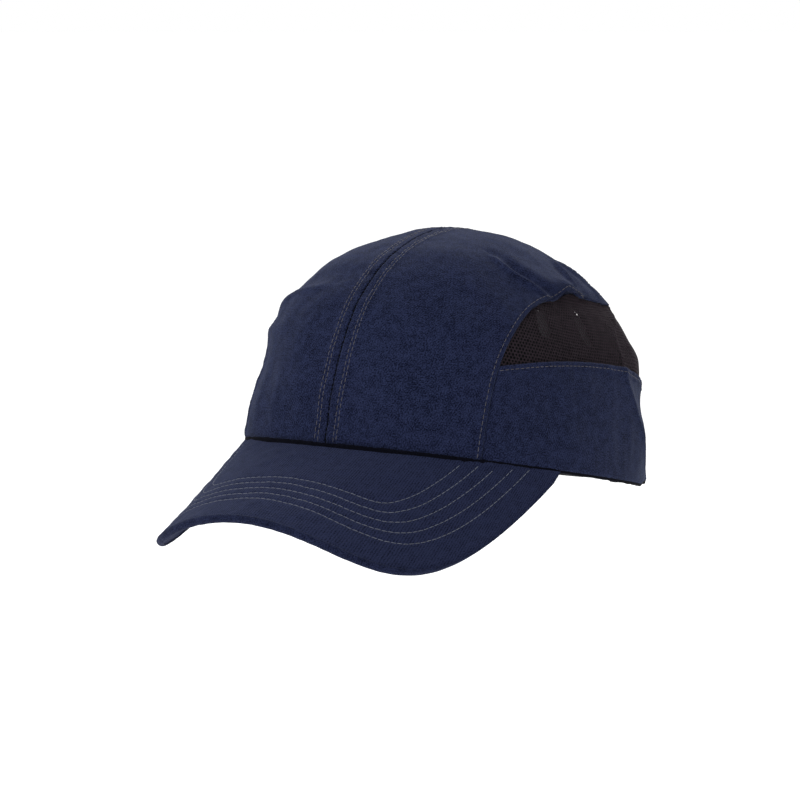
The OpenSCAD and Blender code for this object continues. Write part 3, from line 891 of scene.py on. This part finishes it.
def peak_edge():
    top = PEAK_END * PEAK_LIMIT
    th = span(-top, top, 0.4)
    p = peak_point(th, peak_length(th), 0)
    turn = np.radians(np.linspace(-18, 198, 19))
    puff = 1 + 0.03 * ripple(p, 7, 44)
    reach_in = peak_length(th)[:, None] - BEAD_W * (1 - np.sin(turn)[None] * puff[:, None])
    deep = PEAK_T / 2 - (PEAK_T / 2 + 0.25) * np.cos(turn)[None] * puff[:, None]
    ring = peak_point(th[:, None], reach_in, deep)
    uv = np.stack(np.broadcast_arrays(arc(p[:, None], 0), np.linspace(0, 8, len(turn))[None]), -1)
    obj = tube("peak_edge_tape", ring, uv, EDGE_TWILL, turned=True)
    stand_in(obj, "peak_edge_binding", "cover")


peak_edge()
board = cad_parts["peak_board"]
board.data.materials.clear()
board.data.materials.append(BOARD)


# ---------------------------------------------------------------- straps
LAYER, GLUE = 0.3, 0.05
HOOK_R = STRAP_R - STRAP_T - GLUE
LOOP_R = HOOK_R - PATCH_T - LAYER
SLIDING_R = LOOP_R - PATCH_T - GLUE


def strap(name, node, body, outer_r, thick, start, end, low, wide, material, round_start=0.0, round_end=0.0):
    """Flat strap round the strap's axis, with softened edges and, where asked, a rounded end."""
    run = span(start, end, 0.5)
    arcs = np.radians(run) * outer_r
    half = np.full(len(run), wide / 2)
    for from_end, radius in ((arcs - arcs[0], round_start), (arcs[-1] - arcs, round_end)):
        if radius:
            inside = np.clip(radius - from_end, 0, radius)
            half = np.minimum(half, wide / 2 - radius + np.sqrt(np.maximum(radius ** 2 - inside ** 2, 0.05)))
    section = rounded(1.0, 1.0, 0.35, 5)
    section = np.concatenate([section[-1:], section])[:-1]
    across = section[:, 1]
    outwards = section[:, 0]
    z = STRAP_LOW + low + wide / 2 + across[None] * half[:, None]
    r = outer_r - thick / 2 + (thick / 2) * outwards[None] + 0 * z
    t = rad(run)[:, None]
    ring = np.stack([r * np.sin(t), STRAP_Y + r * np.cos(t), z], -1)
    uv = np.stack([np.broadcast_to(arcs[:, None], r.shape), z], -1)
    stand_in(tube(name, ring, uv, material), node, body)


strap("fixed_strap_webbing", "fixed_strap", "cover", STRAP_R, STRAP_T, -40, -4.3, 0, STRAP_W, WEBBING)
strap("strap_tip_webbing", "strap_tip", "strap_tip", STRAP_R, STRAP_T, -4, 17, 0, STRAP_W, WEBBING,
      round_end=6.0)
strap("hook_patch_tape", "hook_patch", "strap_tip", HOOK_R, PATCH_T, -2, 16, 1.5, STRAP_W - 3, HOOKS)
strap("sliding_strap_webbing", "sliding_strap", "sliding_strap", SLIDING_R, STRAP_T, -20, 40, 0, STRAP_W,
      WEBBING, round_start=6.0)
strap("loop_patch_tape", "loop_patch", "sliding_strap", LOOP_R, PATCH_T, -19, 20, 1.5, STRAP_W - 3, HOOKS)


# ---------------------------------------------------------------- impact shell
def impact_shell():
    columns, rows, top_share = 60, 13, 0.08
    th = 360 * np.arange(columns) / columns
    low = SHELL_LOW + (SHELL_REAR - SHELL_LOW) * smooth((np.minimum(th, 360 - th) - 112) / 22)
    base = np.arccos(reach(low) ** (TOP / 2))
    top = math.acos(top_share ** (TOP / 2))
    turn = base[None] + (top - base)[None] * (np.arange(rows + 1) / rows)[:, None]
    r = hem_radius(th)[None] * np.cos(turn) ** (2 / TOP)
    even = np.stack([r * np.sin(rad(th)), -r * np.cos(rad(th)), CROWN_H * np.sin(turn) ** (2 / WALL)], -1)
    solid = np.ones((rows, columns), bool)
    solid[4:6, 2::4] = False
    solid[8:10, 0::4] = False
    depth = np.full(even.shape[:2], SHELL_GAP)
    flat = surface_normal(even) * flattening(even)[..., None]
    outer, inner = inward(even, depth) + flat, inward(even, depth + SHELL_T) + flat
    obj = sheet_object("impact_shell_moulding", outer, inner, ring=True, solid=solid, material=SHELL)
    mod = obj.modifiers.new("round", "SUBSURF")
    mod.levels = mod.render_levels = 2
    stand_in(obj, "impact_shell", "insert")


impact_shell()


# ---------------------------------------------------------------- pads
def cushion(name, node, even, thick, material, edge=3.0):
    """Pad with softened edges: outer face on the shell, inner face towards the head."""
    u, v = arc(even, 1), arc(even, 0)
    from_edge = np.minimum(np.minimum(u, u[:, -1:] - u), np.minimum(v, v[-1:] - v))
    full = np.sqrt(np.clip(1 - (1 - np.clip(from_edge / edge, 0, 1)) ** 2, 0, 1))
    swell = 0.12 * ripple(even, 16, 51)
    thickness = thick * (0.25 + 0.75 * full) + swell * full
    up = surface_normal(even)
    flat = flattening(even) - (1 - full) * (thick - thickness) / 2
    outer = inward(even, np.full(u.shape, PAD_DEPTH)) + up * flat[..., None]
    inner = outer - up * thickness[..., None]
    obj = sheet_object(name, outer, inner, np.stack([u, v], -1), material=material)
    stand_in(obj, node, "insert")


def wall_pad(name, node, start, end, low, high):
    th, z = span(start, end, 0.9), span(low, high, 1.3)
    cushion(name, node, at_height(th[None], z[:, None]), PAD_T, FOAM)


wall_pad("front_pad_foam", "front_pad", -36, 36, 38, 82)
wall_pad("side_pad_foam_left", "side_pad_left", 56, 112, 38, 80)
wall_pad("side_pad_foam_right", "side_pad_right", -112, -56, 38, 80)
wall_pad("rear_pad_foam", "rear_pad", 144, 216, 58, 86)
pad_x, pad_y = span(-38, 38, 1.4), span(-46, 46, 1.4)
cushion("crown_pad_foam", "crown_pad", over_plan(pad_x[None], pad_y[:, None]), PAD_T, FOAM)
band_th, band_z = span(-130, 130, 0.8), span(BAND_LOW, BAND_HIGH, 0.9)
cushion("sweatband_terry", "sweatband", at_height(band_th[None], band_z[:, None]), BAND_T, TERRY,
        edge=2.2)


# ---------------------------------------------------------------- stage
def light(name, azimuth, elevation, distance, size, power, colour=(1, 1, 1)):
    data = bpy.data.lights.new(name, "AREA")
    data.shape, data.size, data.energy, data.color = "DISK", size, power, colour
    obj = bpy.data.objects.new(name, data)
    a, e = math.radians(azimuth), math.radians(elevation)
    obj.location = distance * Vector((math.sin(a) * math.cos(e), -math.cos(a) * math.cos(e), math.sin(e)))
    obj.rotation_euler = (-obj.location).to_track_quat("-Z", "Y").to_euler()
    bpy.context.scene.collection.objects.link(obj)


VIEW_AZ, VIEW_EL, VIEW_FAR = 31.97, 8.75, 1.470
light("top", VIEW_AZ + 165, 43, 1.5, 1.2, 16)
light("left", VIEW_AZ - 62, 40, 1.7, 1.0, 2.0)

# The room is brightest overhead and to the camera's left; the camera itself sees it plain white
world = bpy.data.worlds.new("studio")
bpy.context.scene.world = world
world.use_nodes = True
room = world.node_tree
toward = room.nodes.new("ShaderNodeTexCoord").outputs["Generated"]
facing = room.nodes.new("ShaderNodeVectorMath")
facing.operation = "DOT_PRODUCT"
side_az = math.radians(VIEW_AZ - 58)
facing.inputs[1].default_value = (0.75 * math.sin(side_az), -0.75 * math.cos(side_az), 0.66)
room.links.new(toward, facing.inputs[0])
bright = room.nodes.new("ShaderNodeMapRange")
bright.inputs["From Min"].default_value, bright.inputs["From Max"].default_value = -0.5, 1.0
bright.inputs["To Min"].default_value, bright.inputs["To Max"].default_value = 0.15, 1.2
room.links.new(facing.outputs["Value"], bright.inputs["Value"])
seen = room.nodes.new("ShaderNodeMix")
room.links.new(room.nodes.new("ShaderNodeLightPath").outputs["Is Camera Ray"], seen.inputs["Factor"])
room.links.new(bright.outputs[0], seen.inputs["A"])
seen.inputs["B"].default_value = 1.0
room.nodes["Background"].inputs["Color"].default_value = (1, 1, 1, 1)
room.links.new(seen.outputs[0], room.nodes["Background"].inputs["Strength"])

bpy.ops.mesh.primitive_circle_add(vertices=96, radius=40, fill_type="NGON", location=(0, 0, -0.25))
floor = bpy.context.object
floor.name = "floor"
floor.data.materials.append(Nodes("pale floor").set(
    Base_Color=(0.5, 0.5, 0.5), Roughness=0.9, Specular_IOR_Level=0.0,
    Emission_Color=(1, 1, 1), Emission_Strength=0.72))

a, e = math.radians(VIEW_AZ), math.radians(VIEW_EL)
right = Vector((math.cos(a), math.sin(a), 0))
back = Vector((math.sin(a) * math.cos(e), -math.cos(a) * math.cos(e), math.sin(e)))
upward = back.cross(right)
target = -0.0225 * right + 0.0300 * upward
camera = bpy.data.objects.new("camera", bpy.data.cameras.new("camera"))
camera.data.lens, camera.data.sensor_width, camera.data.clip_end = 136.1, 36, 200
camera.location = VIEW_FAR * back
camera.rotation_euler = (camera.location - target).to_track_quat("Z", "Y").to_euler()
bpy.context.scene.collection.objects.link(camera)
bpy.context.scene.camera = camera
bpy.context.scene.view_settings.view_transform = "Standard"
